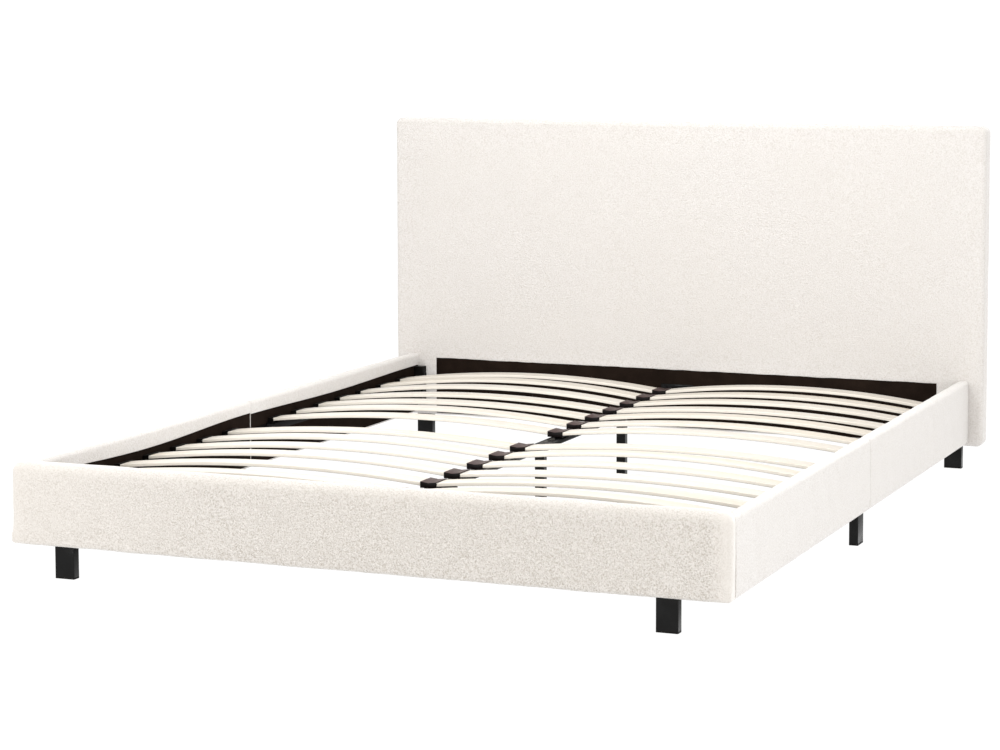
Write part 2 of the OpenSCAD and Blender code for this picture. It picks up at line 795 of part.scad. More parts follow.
module leg(size, top, stud) {
    leg_tube(size, top);
    translate([stud.x, stud.y, top - eps]) cylinder(d = leg_stud_d, h = leg_stud_h + eps);
}

module glide(size) {
    plug = [size.x - 2 * (leg_wall + plug_play), size.y - 2 * (leg_wall + plug_play)];
    translate([-size.x / 2, -size.y / 2, 0]) linear_extrude(glide_h) round_rect(size, leg_corner);
    translate([-plug.x / 2, -plug.y / 2, glide_h - eps]) linear_extrude(plug_h + eps) square(plug);
}

module corner_legs() {
    color(steel_black) both_sides() {
        translate([front_leg_x, front_leg_y, 0])
            leg([leg_w, leg_d], rail_z, [0, front_stud_y - front_leg_y]);
        translate([rear_leg_x, rear_leg_y, 0])
            leg([leg_w, leg_d], head_z, [0, rear_stud_y - rear_leg_y]);
    }
}

module middle_legs() {
    color(steel_black) both_sides() translate([middle_leg_x, middle_leg_y, 0])
        leg([leg_d, leg_w], rail_z, [0, 0]);
}

// Post with a plate and two studs that hold the beam
module centre_legs() {
    color(steel_black) for (y = centre_leg_ys) translate([0, y, 0]) {
        leg_tube([centre_leg_w, centre_leg_d], beam_z);
        translate([-beam_w / 2, -centre_plate_l / 2, beam_z - leg_plate_t])
            cube([beam_w, centre_plate_l, leg_plate_t]);
        for (s = [-1, 1]) translate([0, s * beam_stud_dy, beam_z - eps])
            cylinder(d = beam_stud_d, h = beam_stud_h + eps);
    }
}

module leg_glides() {
    color(plastic_black) {
        both_sides() {
            translate([front_leg_x, front_leg_y, 0]) glide([leg_w, leg_d]);
            translate([rear_leg_x, rear_leg_y, 0]) glide([leg_w, leg_d]);
            translate([middle_leg_x, middle_leg_y, 0]) glide([leg_d, leg_w]);
        }
        for (y = centre_leg_ys) translate([0, y, 0]) glide([centre_leg_w, centre_leg_d]);
    }
}

// ---- drawing ----

function shows(name) = node == "all" || node == name;

if (shows("headboard_panel")) headboard_panel();
if (shows("headboard_cross_battens")) headboard_cross_battens();
if (shows("headboard_uprights")) headboard_uprights();
if (shows("headboard_upholstery")) headboard_upholstery();
if (shows("headboard_lining")) headboard_lining();
if (shows("headboard_back_cloth")) headboard_back_cloth();
if (shows("footboard_board")) footboard_board();
if (shows("footboard_upholstery")) footboard_upholstery();
if (shows("footboard_lining")) footboard_lining();
for (side = [-1, 1], front = [true, false]) {
    place = str(side < 0 ? "_left" : "_right", front ? "_front" : "_rear");
    if (shows(str("rail_board", place))) rail_board(side, front);
    if (shows(str("rail_upholstery", place))) rail_upholstery(side, front);
}
if (shows("rail_linings")) rail_linings();
if (shows("slat_ledges")) slat_ledges();
if (shows("rail_joint_plates")) rail_joint_plates();
if (shows("corner_blocks")) corner_blocks();
if (shows("frame_bolts")) frame_bolts();
if (shows("centre_beam_front")) centre_beam_front();
if (shows("centre_beam_rear")) centre_beam_rear();
if (shows("beam_joiner")) beam_joiner();
if (shows("beam_hangers")) beam_hangers();
if (shows("centre_slat_caps")) centre_slat_caps();
if (shows("side_slat_caps")) side_slat_caps();
if (shows("corner_legs")) corner_legs();
if (shows("middle_legs")) middle_legs();
if (shows("centre_legs")) centre_legs();
if (shows("leg_glides")) leg_glides();
for (i = slat_numbers) {
    if (shows(slat_names[i - 1])) slat(-1, i);
    if (shows(slat_names[2 * slats_per_half + i - 1])) slat(1, i);
}
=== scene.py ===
"""Dresses the upholstered bed: padded covers, linings, sprung slats, moulded caps and steel legs."""
import math

import bmesh
import bpy
import numpy as np
from mathutils import Euler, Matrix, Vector


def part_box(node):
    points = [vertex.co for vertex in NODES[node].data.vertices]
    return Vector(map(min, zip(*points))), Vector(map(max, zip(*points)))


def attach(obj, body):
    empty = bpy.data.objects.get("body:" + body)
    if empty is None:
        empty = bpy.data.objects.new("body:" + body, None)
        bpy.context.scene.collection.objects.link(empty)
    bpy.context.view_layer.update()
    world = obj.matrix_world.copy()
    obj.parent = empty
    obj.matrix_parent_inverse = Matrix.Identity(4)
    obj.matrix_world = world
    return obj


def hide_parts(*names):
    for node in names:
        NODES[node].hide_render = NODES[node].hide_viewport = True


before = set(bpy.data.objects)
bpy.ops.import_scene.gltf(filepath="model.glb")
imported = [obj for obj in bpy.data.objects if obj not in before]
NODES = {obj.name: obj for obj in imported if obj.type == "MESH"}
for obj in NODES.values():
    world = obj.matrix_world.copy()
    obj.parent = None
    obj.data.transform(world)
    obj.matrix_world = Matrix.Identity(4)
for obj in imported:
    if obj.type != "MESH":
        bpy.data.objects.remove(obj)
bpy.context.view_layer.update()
BODY = "root"

bl_info = {
    "name": "Upholstered Bed",
    "version": (1, 0, 0),
    "blender": (4, 5, 0),
    "location": "3D View > Sidebar > Bed",
    "description": "Padded covers, linings, slats, caps and legs of an upholstered bed",
    "category": "Object",
}


def low(node):
    """Lowest corner of a CAD node, as an array."""
    return np.array(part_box(node)[0], float)


def high(node):
    """Highest corner of a CAD node, as an array."""
    return np.array(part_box(node)[1], float)


def span(node):
    """Lowest and highest corner of a CAD node."""
    return low(node), high(node)


# ---- sizes and colours that a user would change ----

def metres(name, description, default):
    """A property that holds a length."""
    return bpy.props.FloatProperty(name=name, description=description, unit="LENGTH", default=default)


def paint(name, description, default):
    """A property that holds a colour."""
    return bpy.props.FloatVectorProperty(
        name=name, description=description, subtype="COLOR", size=3, min=0, max=1, default=default)


class BedCloth(bpy.types.PropertyGroup):
    """Cover fabric."""

    colour: paint("Fabric colour", "Colour of the loops", (0.601, 0.580, 0.571))
    # The colour between the loops is a painted shade, darker where the hollows would lie in shade
    shade: paint("Painted hollow shade", "Painted shade between the loops", (0.432, 0.388, 0.338))
    loop: metres("Loop size", "Width of one loop of the yarn", 0.0056)
    relief: metres("Loop height", "Height of the loops in the bump", 0.0020)
    crown: metres("Crown", "Swell of the foam in the middle of a face", 0.0015)
    head_corner: metres("Headboard corner", "Rounding of the headboard's outline", 0.019)
    head_rim: metres("Headboard rim", "Rounding of the headboard's edges", 0.013)
    foot_corner: metres("Footboard corner", "Rounding of the footboard's upper corners", 0.024)
    rim: metres("Rail rim", "Rounding of the rails' edges", 0.010)
    foot_rim: metres("Footboard rim", "Rounding of the footboard's front edges", 0.018)
    low_rim: metres(
        "Footboard's lower rim", "Rounding of the footboard's lower front edge and corners", 0.007)
    back_rim: metres(
        "Footboard's back rim", "Rounding of the footboard's edges on the mattress side", 0.0012)
    end_rim: metres("End rounding", "Rounding where a rail meets the head- or footboard", 0.001)
    joint_rim: metres("Joint rounding", "Rounding where the two halves of a rail meet", 0.003)
    lining_gap: metres("Lining gap", "Bare strip on each side of the rails' joint", 0.002)
    edge_lift: metres("Edge lift", "Mean height of the turned-in edge over its line", -0.0008)
    edge_wave: metres("Edge wave", "Height of the slow wave in the turned-in edge", 0.006)
    edge_length: metres("Edge wave length", "Length of that wave", 1.0)


class BedWood(bpy.types.PropertyGroup):
    """Slats."""

    colour: paint("Wood colour", "Face of a slat", (0.560, 0.533, 0.497))
    grain: paint("Grain colour", "Darker lines of the grain", (0.600, 0.525, 0.420))
    thickness: metres("Slat thickness", "Thickness of a slat", 0.008)
    rise: metres("Rise", "Height of the arch over the line between a slat's ends", 0.028)
    lift: metres("Lift", "How much higher a slat's inner end is", 0.008)
    end_edge: metres("End edge", "Bevel at a slat's sawn ends", 0.0005)
    edge: metres("Slat edge", "Rounding of a slat's long edges", 0.0016)


class BedDark(bpy.types.PropertyGroup):
    """Black and brown parts."""

    cap: paint("Cap colour", "Moulded caps on the beam", (0.004, 0.0022, 0.0020))
    steel: paint("Steel colour", "Powder coating on beam and legs", (0.0085, 0.0085, 0.0085))
    lining: paint("Lining colour", "Spun cloth on the inner faces", (0.008, 0.0050, 0.0036))


class BedStage(bpy.types.PropertyGroup):
    """Camera and light."""

    camera_at: bpy.props.FloatVectorProperty(
        name="Camera place", description="Where the camera stands", unit="LENGTH", size=3,
        default=(2.4061, -5.9255, 1.2332))
    yaw: bpy.props.FloatProperty(
        name="Yaw", description="Turn of the camera to the left of +Y", unit="ROTATION", default=0.3699)
    pitch: bpy.props.FloatProperty(
        name="Pitch", description="Tilt of the camera below level", unit="ROTATION", default=0.0916)
    lens: bpy.props.FloatProperty(
        name="Lens", description="Focal length for a sensor 36 mm wide, in millimetres", default=94.196)
    shift: bpy.props.FloatVectorProperty(
        name="Shift", description="Sideways and vertical lens shift", size=2, default=(-0.0840, -0.12))


# ---- meshes ----

def make_piece(name, vertices, faces, uv=None):
    """Object from arrays of places and of corner numbers; uv holds one pair for each face corner."""
    mesh = bpy.data.meshes.new(name)
    faces = np.asarray(faces, np.int32)
    count, sides = faces.shape
    mesh.vertices.add(len(vertices))
    mesh.vertices.foreach_set("co", np.asarray(vertices, np.float32).ravel())
    mesh.loops.add(count * sides)
    mesh.loops.foreach_set("vertex_index", faces.ravel())
    mesh.polygons.add(count)
    mesh.polygons.foreach_set("loop_start", np.arange(0, count * sides, sides, dtype=np.int32))
    mesh.update(calc_edges=True)
    if uv is not None:
        mesh.uv_layers.new(name="UVMap").data.foreach_set("uv", np.asarray(uv, np.float32).ravel())
    mesh.validate()
    mesh.shade_smooth()
    piece = bpy.data.objects.new(name, mesh)
    bpy.context.scene.collection.objects.link(piece)
    return piece


def grid_faces(rows, columns, wrap=False):
    """Quads of a grid of rows by columns points; wrap joins the last column to the first."""
    across = columns if wrap else columns - 1
    r, c = np.meshgrid(np.arange(rows - 1), np.arange(across), indexing="ij")
    right = (c + 1) % columns
    return np.stack([r * columns + c, r * columns + right,
                     (r + 1) * columns + right, (r + 1) * columns + c], -1).reshape(-1, 4)


def spaced(start, end, step, edge, extra=()):
    """Places from start to end: a step apart inside, eight over each rounded edge, and the extra ones."""
    count = max(2, int(round((end - start - 2 * edge) / step)) + 1)
    inner = np.linspace(start + edge, end - edge, count)
    near = np.linspace(0, edge, 8)[:-1]
    return np.unique(np.round(np.concatenate([start + near, inner, end - near, extra]), 6))


def skin_lattice(xs, ys, zs):
    """Points of a lattice's six sides, each named once, and quads that face outwards."""
    counts = (len(xs), len(ys), len(zs))
    quads = []
    for axis in range(3):
        u, v = [a for a in range(3) if a != axis]
        i, j = np.meshgrid(np.arange(counts[u] - 1), np.arange(counts[v] - 1), indexing="ij")
        for end in (0, counts[axis] - 1):
            corner = np.empty(i.shape + (4, 3), int)
            corner[..., axis] = end
            corner[..., u] = i[..., None] + np.array([0, 1, 1, 0])
            corner[..., v] = j[..., None] + np.array([0, 0, 1, 1])
            inwards = (end == 0) != (axis == 1)
            quads.append((corner[..., ::-1, :] if inwards else corner).reshape(-1, 4, 3))
    quads = np.concatenate(quads)
    names = (quads[..., 0] * counts[1] + quads[..., 1]) * counts[2] + quads[..., 2]
    used, faces = np.unique(names, return_inverse=True)
    points = np.column_stack([np.asarray(xs)[used // (counts[1] * counts[2])],
                              np.asarray(ys)[used // counts[2] % counts[1]],
                              np.asarray(zs)[used % counts[2]]])
    return points, faces.reshape(-1, 4)


def round_slab(points, lowest, highest, corner, rim):
    """Rounds the skin of a box that is thin along Y.

    Seen along Y, a point in a corner's square moves out from the square's inner corner, the core, onto
    a circle. Then what it reaches past the rim's start, outwards and along Y, moves onto the rim's
    quarter circle. Also returns the direction in which each point faces away from the box's core."""
    middle, half = (lowest + highest) / 2, (highest - lowest) / 2
    place = points - middle
    corner, rim = [np.broadcast_to(v, len(points)).astype(float) for v in (corner, rim)]
    flat, sides = place[:, [0, 2]], half[[0, 2]][None, :] - corner[:, None]
    core = np.clip(flat, -sides, sides)
    out = flat - core
    reach = np.abs(out).max(1)
    way = out / np.maximum(np.linalg.norm(out, axis=1), 1e-9)[:, None]
    over = np.maximum(reach - (corner - rim), 0)
    deep = np.maximum(np.abs(place[:, 1]) - (half[1] - rim), 0)
    size = np.maximum(np.hypot(over, deep), 1e-9)
    scale = np.maximum(over, deep) / size
    reach = np.where(over > 0, corner - rim + over * scale, reach)
    y = np.sign(place[:, 1]) * (np.minimum(np.abs(place[:, 1]), half[1] - rim) + deep * scale)
    flat = core + way * reach[:, None]
    faces_to = np.column_stack([way[:, 0] * over, np.sign(place[:, 1]) * deep, way[:, 1] * over])
    faces_to /= np.maximum(np.linalg.norm(faces_to, axis=1), 1e-9)[:, None]
    return np.column_stack([flat[:, 0], y, flat[:, 1]]) + middle, faces_to


def waves(points, length, seed):
    """Smooth unevenness from -1 to 1: the mean of twelve sines that run in random directions."""
    rng = np.random.default_rng(seed)
    way = rng.normal(size=(12, 3))
    way /= np.linalg.norm(way, axis=1)[:, None]
    turn = 2 * math.pi / (length * rng.uniform(0.6, 1.6, 12))
    return np.sin(points @ (way * turn[:, None]).T + rng.uniform(0, 2 * math.pi, 12)).mean(1) * 2


def unevenness(points, *layers):
    """Sum of waves, each given by its length, its seed and its height."""
    return sum(waves(points, length, seed) * height for length, seed, height in layers)


def ease(x):
    """Smooth step from 0 to 1 as x goes from 0 to 1."""
    x = np.clip(x, 0, 1)
    return x * x * (3 - 2 * x)


def add_cavity(points, faces, lowest, highest, corner=0.0):
    """Adds a box-shaped hollow, facing inwards, to a closed skin. Seen along Y, its corners can be
    round."""
    xs, zs = [spaced(lowest[a], highest[a], 1.0, corner) for a in (0, 2)]
    inside, quads = skin_lattice(xs, np.array([lowest[1], highest[1]]), zs)
    inside, _ = round_slab(inside, lowest, highest, corner, 0.0)
    return np.vstack([points, inside]), np.vstack([faces, quads[:, ::-1] + len(points)])


def place_piece(piece, nodes, finish):
    """Gives a piece its material and its body, and hides the CAD nodes that it stands for."""
    piece.data.materials.clear()
    piece.data.materials.append(finish)
    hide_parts(*nodes)
    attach(piece, BODY)
    return piece


# ---- materials ----

class Wire:
    """Output of a shader node. The operators +, - and * add Math nodes."""

    def __init__(self, graph, socket):
        self.graph, self.socket = graph, socket

    def __add__(self, other):
        return self.graph.math("ADD", self, other)

    def __sub__(self, other):
        return self.graph.math("SUBTRACT", self, other)

    def __mul__(self, other):
        return self.graph.math("MULTIPLY", self, other)


class Graph:
    """Node tree of one new material, or of the given owner, such as a world."""

    def __init__(self, name, owner=None):
        self.material = owner or bpy.data.materials.new(name)
        self.material.use_nodes = True
        self.tree = self.material.node_tree
        self.tree.nodes.clear()

    def add(self, kind, settings=None, inputs=None, out=0):
        """Adds a node, sets its settings, feeds its sockets with values or wires, and returns one of
        its outputs."""
        node = self.tree.nodes.new(kind)
        for key, value in (settings or {}).items():
            if key == "stops":
                self.set_ramp(node.color_ramp, value)
            else:
                setattr(node, key, value)
        for key, value in (inputs or {}).items():
            if isinstance(value, Wire):
                self.tree.links.new(value.socket, node.inputs[key])
            else:
                node.inputs[key].default_value = value
        return Wire(self, node.outputs[out])

    def math(self, operation, *values):
        """A Math node on these values, in their order."""
        return self.add("ShaderNodeMath", {"operation": operation}, dict(enumerate(values)))

    @staticmethod
    def set_ramp(ramp, stops):
        """Stops are pairs of a place and a grey value or a colour."""
        while len(ramp.elements) < len(stops):
            ramp.elements.new(1.0)
        for element, (place, colour) in zip(ramp.elements, stops):
            grey = isinstance(colour, (int, float))
            element.position = place
            element.color = (colour, colour, colour, 1) if grey else (*colour, 1)

    def place(self):
        """The point's place in the row frame, in metres."""
        return self.add("ShaderNodeTexCoord", out="Object")

    def stretched(self, vector, scale):
        """The vector, with each of its parts scaled."""
        return self.add("ShaderNodeMapping", None, {"Vector": vector, "Scale": scale})

    def noise(self, vector, size, detail=2.0, roughness=0.5):
        """Noise from 0 to 1 with features of the given size in metres."""
        return self.add("ShaderNodeTexNoise", None, {
            "Vector": vector, "Scale": 1 / size, "Detail": detail, "Roughness": roughness})

    def cells(self, vector, size, out="Distance"):
        """Voronoi cells of the given size in metres."""
        return self.add("ShaderNodeTexVoronoi", None, {"Vector": vector, "Scale": 1 / size}, out)

    def ramp(self, value, *stops):
        """The value, led through straight lines between the stops."""
        return self.add("ShaderNodeValToRGB", {"stops": stops}, {"Fac": value})

    def mix(self, factor, a, b):
        """Colour a at factor 0 and b at factor 1."""
        settings = {"data_type": "RGBA", "clamp_factor": True}
        a, b = [(*c, 1) if isinstance(c, tuple) else c for c in (a, b)]
        return self.add("ShaderNodeMix", settings, {0: factor, 6: a, 7: b}, 2)

    def shift(self, vector, size, amount):
        """The vector, moved about by noise."""
        noise = self.add("ShaderNodeTexNoise", None, {"Vector": vector, "Scale": 1 / size}, "Color")
        centred = self.add("ShaderNodeVectorMath", {"operation": "SUBTRACT"}, {
            0: noise, 1: (0.5, 0.5, 0.5)})
        scaled = self.add("ShaderNodeVectorMath", {"operation": "SCALE"}, {0: centred, "Scale": amount})
        return self.add("ShaderNodeVectorMath", {"operation": "ADD"}, {0: vector, 1: scaled})

    def bump(self, height, distance):
        """Normal of a relief whose height of 1 stands for the distance in metres."""
        return self.add("ShaderNodeBump", None, {"Height": height, "Distance": distance, "Strength": 1.0})

    def finish(self, **sockets):
        """Ends the tree in one Principled shader with these sockets, and returns the material."""
        names = {name.replace("_", " "): value for name, value in sockets.items()}
        shader = self.add("ShaderNodeBsdfPrincipled", None, names, "BSDF")
        output = self.tree.nodes.new("ShaderNodeOutputMaterial")
        self.tree.links.new(shader.socket, output.inputs["Surface"])
        return self.material


def rgb(colour):
    """A property's colour as a plain tuple."""
    return tuple(float(c) for c in colour)


def tinted(colour, red, green=None, blue=None):
    """The colour with each channel times its factor; one factor alone serves all three."""
    factors = (red, red, red) if green is None else (red, green, blue)
    return tuple(c * k for c, k in zip(colour, factors))


def foot_share(g, place):
    """Share of the loops' full height, and of their painted hollow shade and crest highlights, on the
    footboard:
    less where the fabric turns over the top and the ends, and towards the left end, so those parts come
    out paler and smoother, a painted light. The ramp along X holds 2 m, so 10 mm are 0.005 on it."""
    x, z = [g.add("ShaderNodeSeparateXYZ", None, {0: place}, axis) for axis in "XZ"]
    end, top = high("footboard_upholstery")[[0, 2]]
    left, right = 0.5 - end / 2, 0.5 + end / 2
    along = g.ramp(x * 0.5 + 0.5, (left + 0.006, 0.30), (left + 0.022, 0.60), (left + 0.25, 1.0),
                   (right - 0.022, 1.0), (right - 0.006, 0.25))
    return along * g.ramp(z, (top - 0.034, 1.0), (top - 0.010, 0.60))


def loop_fabric(name, pull, sheen, share=None):
    """Off-white fabric of small uneven loops; a pull below 1 flattens them, as where it is tighter, and
    weakens their painted shade and highlights, a paler copy that stands for flatter light. The yarns run
    along the creases where one noise crosses its middle, and a finer noise twists them."""
    cloth = bpy.context.scene.bed_cloth
    loop = cloth.loop
    g = Graph(name)
    place = g.place()
    curls = g.noise(g.shift(place, loop * 1.2, loop * 0.7), loop, 2, 0.6)
    twist = g.noise(g.shift(place, loop * 0.6, loop * 0.5), loop * 0.6, 1, 0.6)
    crease = g.math("ABSOLUTE", curls - 0.5)
    amount = share(g, place) * pull if share else pull
    crest = g.ramp(crease * 3.0 + twist * 0.7, (0.20, 0.0), (0.85, 1.0))
    height = crest * 0.5 + twist * 0.8
    speck = crest * 0.4 + twist * 1.1
    # Painted shade: the hollows between the loops darken to the cloth's hollow colour
    hollow = g.ramp(speck, (0.42, 1.0), (0.80, 0.0)) * amount
    # Painted highlight: the loops' crests whiten
    painted_crest_highlight = g.ramp(speck, (0.90, 0.0), (1.15, 1.0)) * (amount * 0.7)
    # The yarn's hue follows the pull, warmer on the footboard: painted shading for the dimmer, warmer
    # light there
    yarn = tinted(rgb(cloth.colour), 1.030 ** pull, 1.010 ** pull, 0.965 ** pull)
    soil = g.ramp(g.noise(place, 0.35, 3), (0.3, 0.0), (0.75, 1.0))
    base = g.mix(soil * 0.5, yarn, tinted(yarn, 0.985, 0.98, 0.965))
    colour = g.mix(painted_crest_highlight, g.mix(hollow, base, rgb(cloth.shade)), tinted(yarn, 1.14))
    return g.finish(Base_Color=colour, Roughness=0.95, Sheen_Weight=sheen, Sheen_Roughness=0.5,
                    Specular_IOR_Level=0.1, Normal=g.bump(height * amount, cloth.relief))


def spun_lining():
    """Black spun cloth with fine pressed dots and stray fibres."""
    black = rgb(bpy.context.scene.bed_dark.lining)
    g = Graph("spun_lining")
    place = g.place()
    dots = g.cells(place, 0.0016)
    fibres = g.noise(g.shift(place, 0.006, 0.004), 0.0012, 4, 0.65)
    cloud = g.noise(place, 0.04, 3)
    stray = g.ramp(fibres * 0.6 + cloud * 0.4, (0.40, 0.0), (0.75, 1.0))
    colour = g.mix(stray, black, tinted(black, 2.6))
    return g.finish(Base_Color=colour, Roughness=0.9, Specular_IOR_Level=0.03,
                    Normal=g.bump(dots * 0.5 + fibres * 0.6, 0.0004))


# Pairs of a light and a dark layer of veneer in a slat
PLY_PAIRS = 5


def slat_wood():
    """Pale lacquered plywood: grain along the faces; on the sides, layers of veneer in a paler colour
    than the faces, a painted light, over a dark line at the bottom, a painted shadow.
    """
    wood = bpy.context.scene.bed_wood
    pale, dark = rgb(wood.colour), rgb(wood.grain)
    g = Graph("slat_wood")
    place = g.place()
    along = g.add("ShaderNodeUVMap", {"uv_map": "UVMap"})
    fine = g.noise(g.stretched(along, (6, 420, 1)), 1.0, 3, 0.6)
    broad = g.noise(g.stretched(along, (1.6, 60, 1)), 1.0, 2)
    batch = g.noise(g.stretched(place, (0.6, 9, 0.6)), 1.0, 1)
    streak = g.noise(g.stretched(along, (0.7, 26, 1)), 1.0, 2, 0.45)
    grain = g.ramp(fine * 0.55 + broad * 0.45, (0.38, 0.0), (0.72, 1.0))
    face = g.mix(grain * 0.7, pale, dark)
    face = g.mix(g.ramp(batch, (0.35, 0.0), (0.7, 1.0)) * 0.35, face, tinted(pale, 0.96, 0.90, 0.82))
    face = g.mix(g.ramp(streak, (0.48, 0.0), (0.66, 1.0)) * 0.6, face, tinted(pale, 0.99, 0.90, 0.74))
    layer = g.add("ShaderNodeAttribute", {"attribute_name": "layer"}, out="Fac")
    side = g.add("ShaderNodeAttribute", {"attribute_name": "side"}, out="Fac")
    band = g.math("SINE", layer * (2 * math.pi * PLY_PAIRS))
    veneer = g.ramp(band * 0.5 + 0.5, (0.35, 0.0), (0.65, 1.0)) * 0.25 + fine * 0.15
    # Painted light: the sides take a paler copy of the face colour, lifted out of their shade; the veneer
    # bands on them are real
    veneer_and_painted_light = g.mix(veneer, tinted(pale, 1.26, 1.22, 1.14), pale)
    # Painted shadow: a dark line along the lower edge of the sides, where the slat's underside lies in
    # shade
    veneer_and_painted_light = g.mix(g.ramp(layer, (0.08, 1.0), (0.15, 0.0)), veneer_and_painted_light, tinted(dark, 0.20))
    return g.finish(Base_Color=g.mix(side, face, veneer_and_painted_light), Roughness=grain * 0.12 + 0.42, Coat_Weight=0.12,
                    Coat_Roughness=0.3, Normal=g.bump(grain, 0.00015))


def moulded(name, colour, painted_top_colour, roughness):
    """Satin moulded plastic with a faint grain; where a face looks up it takes its second colour, a
    painted top light, patchy with the wear noise.
    """
    g = Graph(name)
    place = g.place()
    grain = g.noise(place, 0.0009, 3, 0.6)
    wear = g.ramp(g.noise(place, 0.03, 4, 0.6), (0.45, 0.0), (0.75, 1.0))
    upwards = g.add("ShaderNodeSeparateXYZ", None, {
        0: g.add("ShaderNodeNewGeometry", out="True Normal")}, "Z")
    # Painted top light: faces that look up turn to the top colour, as if lit from above
    painted_lighting = g.ramp(upwards, (0.4, 0.0), (0.85, 1.0)) * (wear * 0.3 + 0.7)
    return g.finish(Base_Color=g.mix(painted_lighting, colour, painted_top_colour), Roughness=wear * 0.12 + roughness,
                    Specular_IOR_Level=0.1, Normal=g.bump(grain, 0.00008))


def powder_coat(name, tone):
    """Powder-coated steel with a fine orange-peel surface; a tone below 1 is blacker and duller, a
    painted shade for parts that lie in shade.
    """
    steel = tinted(rgb(bpy.context.scene.bed_dark.steel), tone)
    g = Graph(name)
    place = g.place()
    peel = g.noise(place, 0.0022, 2)
    dust = g.ramp(g.noise(place, 0.05, 5, 0.65), (0.45, 0.0), (0.8, 1.0))
    return g.finish(Base_Color=g.mix(dust * 0.5, steel, tinted(steel, 2.2)),
                    Roughness=dust * 0.12 + 0.22, Specular_IOR_Level=0.08 * tone,
                    Normal=g.bump(peel, 0.00003))


def chipboard():
    """Flakes of light and dark wood."""
    g = Graph("chipboard")
    place = g.place()
    flakes = g.add("ShaderNodeRGBToBW", None, {
        "Color": g.cells(g.stretched(place, (1, 1, 1.6)), 0.004, "Color")})
    dust = g.noise(place, 0.0015, 3)
    colour = g.mix(flakes * 0.7 + dust * 0.3, (0.30, 0.18, 0.09), (0.62, 0.45, 0.27))
    return g.finish(Base_Color=colour, Roughness=0.85, Normal=g.bump(flakes, 0.0004))


def sawn_pine():
    """Rough pine with rings drawn out along the batten."""
    g = Graph("sawn_pine")
    place = g.place()
    rings = g.noise(g.shift(g.stretched(place, (60, 60, 3)), 1.5, 0.5), 1.0, 3, 0.55)
    saw = g.noise(g.stretched(place, (40, 900, 300)), 1.0, 2)
    colour = g.mix(g.ramp(rings, (0.35, 0.0), (0.68, 1.0)), (0.80, 0.62, 0.38), (0.62, 0.40, 0.19))
    return g.finish(Base_Color=colour, Roughness=0.75, Normal=g.bump(rings + saw * 0.5, 0.0004))


def material(maker, *arguments):
    """The named material, made on first use."""
    name = arguments[0] if arguments else maker.__name__
    return bpy.data.materials.get(name) or maker(*arguments)


# ---- covers ----

# Play between a board and the hollow of its cover: round the slabs, behind a thin lining, in the rails
SLAB_PLAY, LINING_PLAY, RAIL_PLAY = 0.0005, 0.0001, 0.0002
# Depth of the seat for the headboard's black band, and of the dents beside the side rails
BAND_SEAT, RAIL_DENT = 0.0012, 0.0015
# What the footboard's seat lies deeper than its lining
SEAT_BELOW = 0.0008
# Height of the folds beside the headboard, on a rail's top and on its outside
TOP_FOLD, SIDE_FOLD = 0.0012, 0.0010


def headboard_cover():
    """Rounded slab with a swell on its free front, a shallow seat for the black band and shallow dents
    where the side rails press into it."""
    cloth = bpy.context.scene.bed_cloth
    lowest, highest = span("headboard_upholstery")
    band_high = high("headboard_lining")
    step = (-0.003, -0.001, 0.001, 0.003)
    xs = spaced(lowest[0], highest[0], 0.012, cloth.head_corner, [
        s * (band_high[0] + d) for s in (-1, 1) for d in step])
    zs = spaced(lowest[2], highest[2], 0.012, cloth.head_corner, [band_high[2] + d for d in step])
    ys = spaced(lowest[1], highest[1], 0.010, cloth.head_rim)
    points, faces = skin_lattice(xs, ys, zs)
    flat = points.copy()
    points, away = round_slab(points, lowest, highest, cloth.head_corner, cloth.head_rim)
    x, z = flat[:, 0], flat[:, 2]
    front = np.clip(-away[:, 1], 0, 1)
    rail_top = high("rail_upholstery_left_rear")[2]
    # The swell dies out over 50 mm towards the rails and 100 mm towards the other edges
    free = ease((z - rail_top) / 0.05) * ease((highest[2] - z) / 0.10)
    free *= ease((highest[0] - np.abs(x)) / 0.10)
    points[:, 1] -= front * free * cloth.crown
    # The band's seat reaches a little past the band
    seat = ease((band_high[0] + 0.002 - np.abs(x)) / 0.003) * ease((band_high[2] + 0.002 - z) / 0.003)
    points[:, 1] += front * seat * BAND_SEAT
    # The dents follow the rails' outer faces
    rails = np.exp(-(((np.abs(x) - high("rail_upholstery_right_rear")[0]) / 0.012) ** 2))
    points[:, 1] += front * rails * ease((rail_top + 0.02 - z) / 0.02) * RAIL_DENT
    uneven = unevenness(points, (0.16, 3, 0.0006), (0.05, 4, 0.0003))
    points += away * (uneven * (1 - np.clip(away[:, 1], 0, 1)))[:, None]
    frame_low = np.append(low("headboard_panel")[:2], low("headboard_cross_battens")[2])
    frame_high = np.append(high("headboard_panel")[0], high("headboard_cross_battens")[1:])
    points, faces = add_cavity(points, faces, frame_low - SLAB_PLAY, frame_high + SLAB_PLAY,
                               cloth.head_corner - (frame_low - lowest)[0])
    return make_piece("headboard_cover", points, faces)


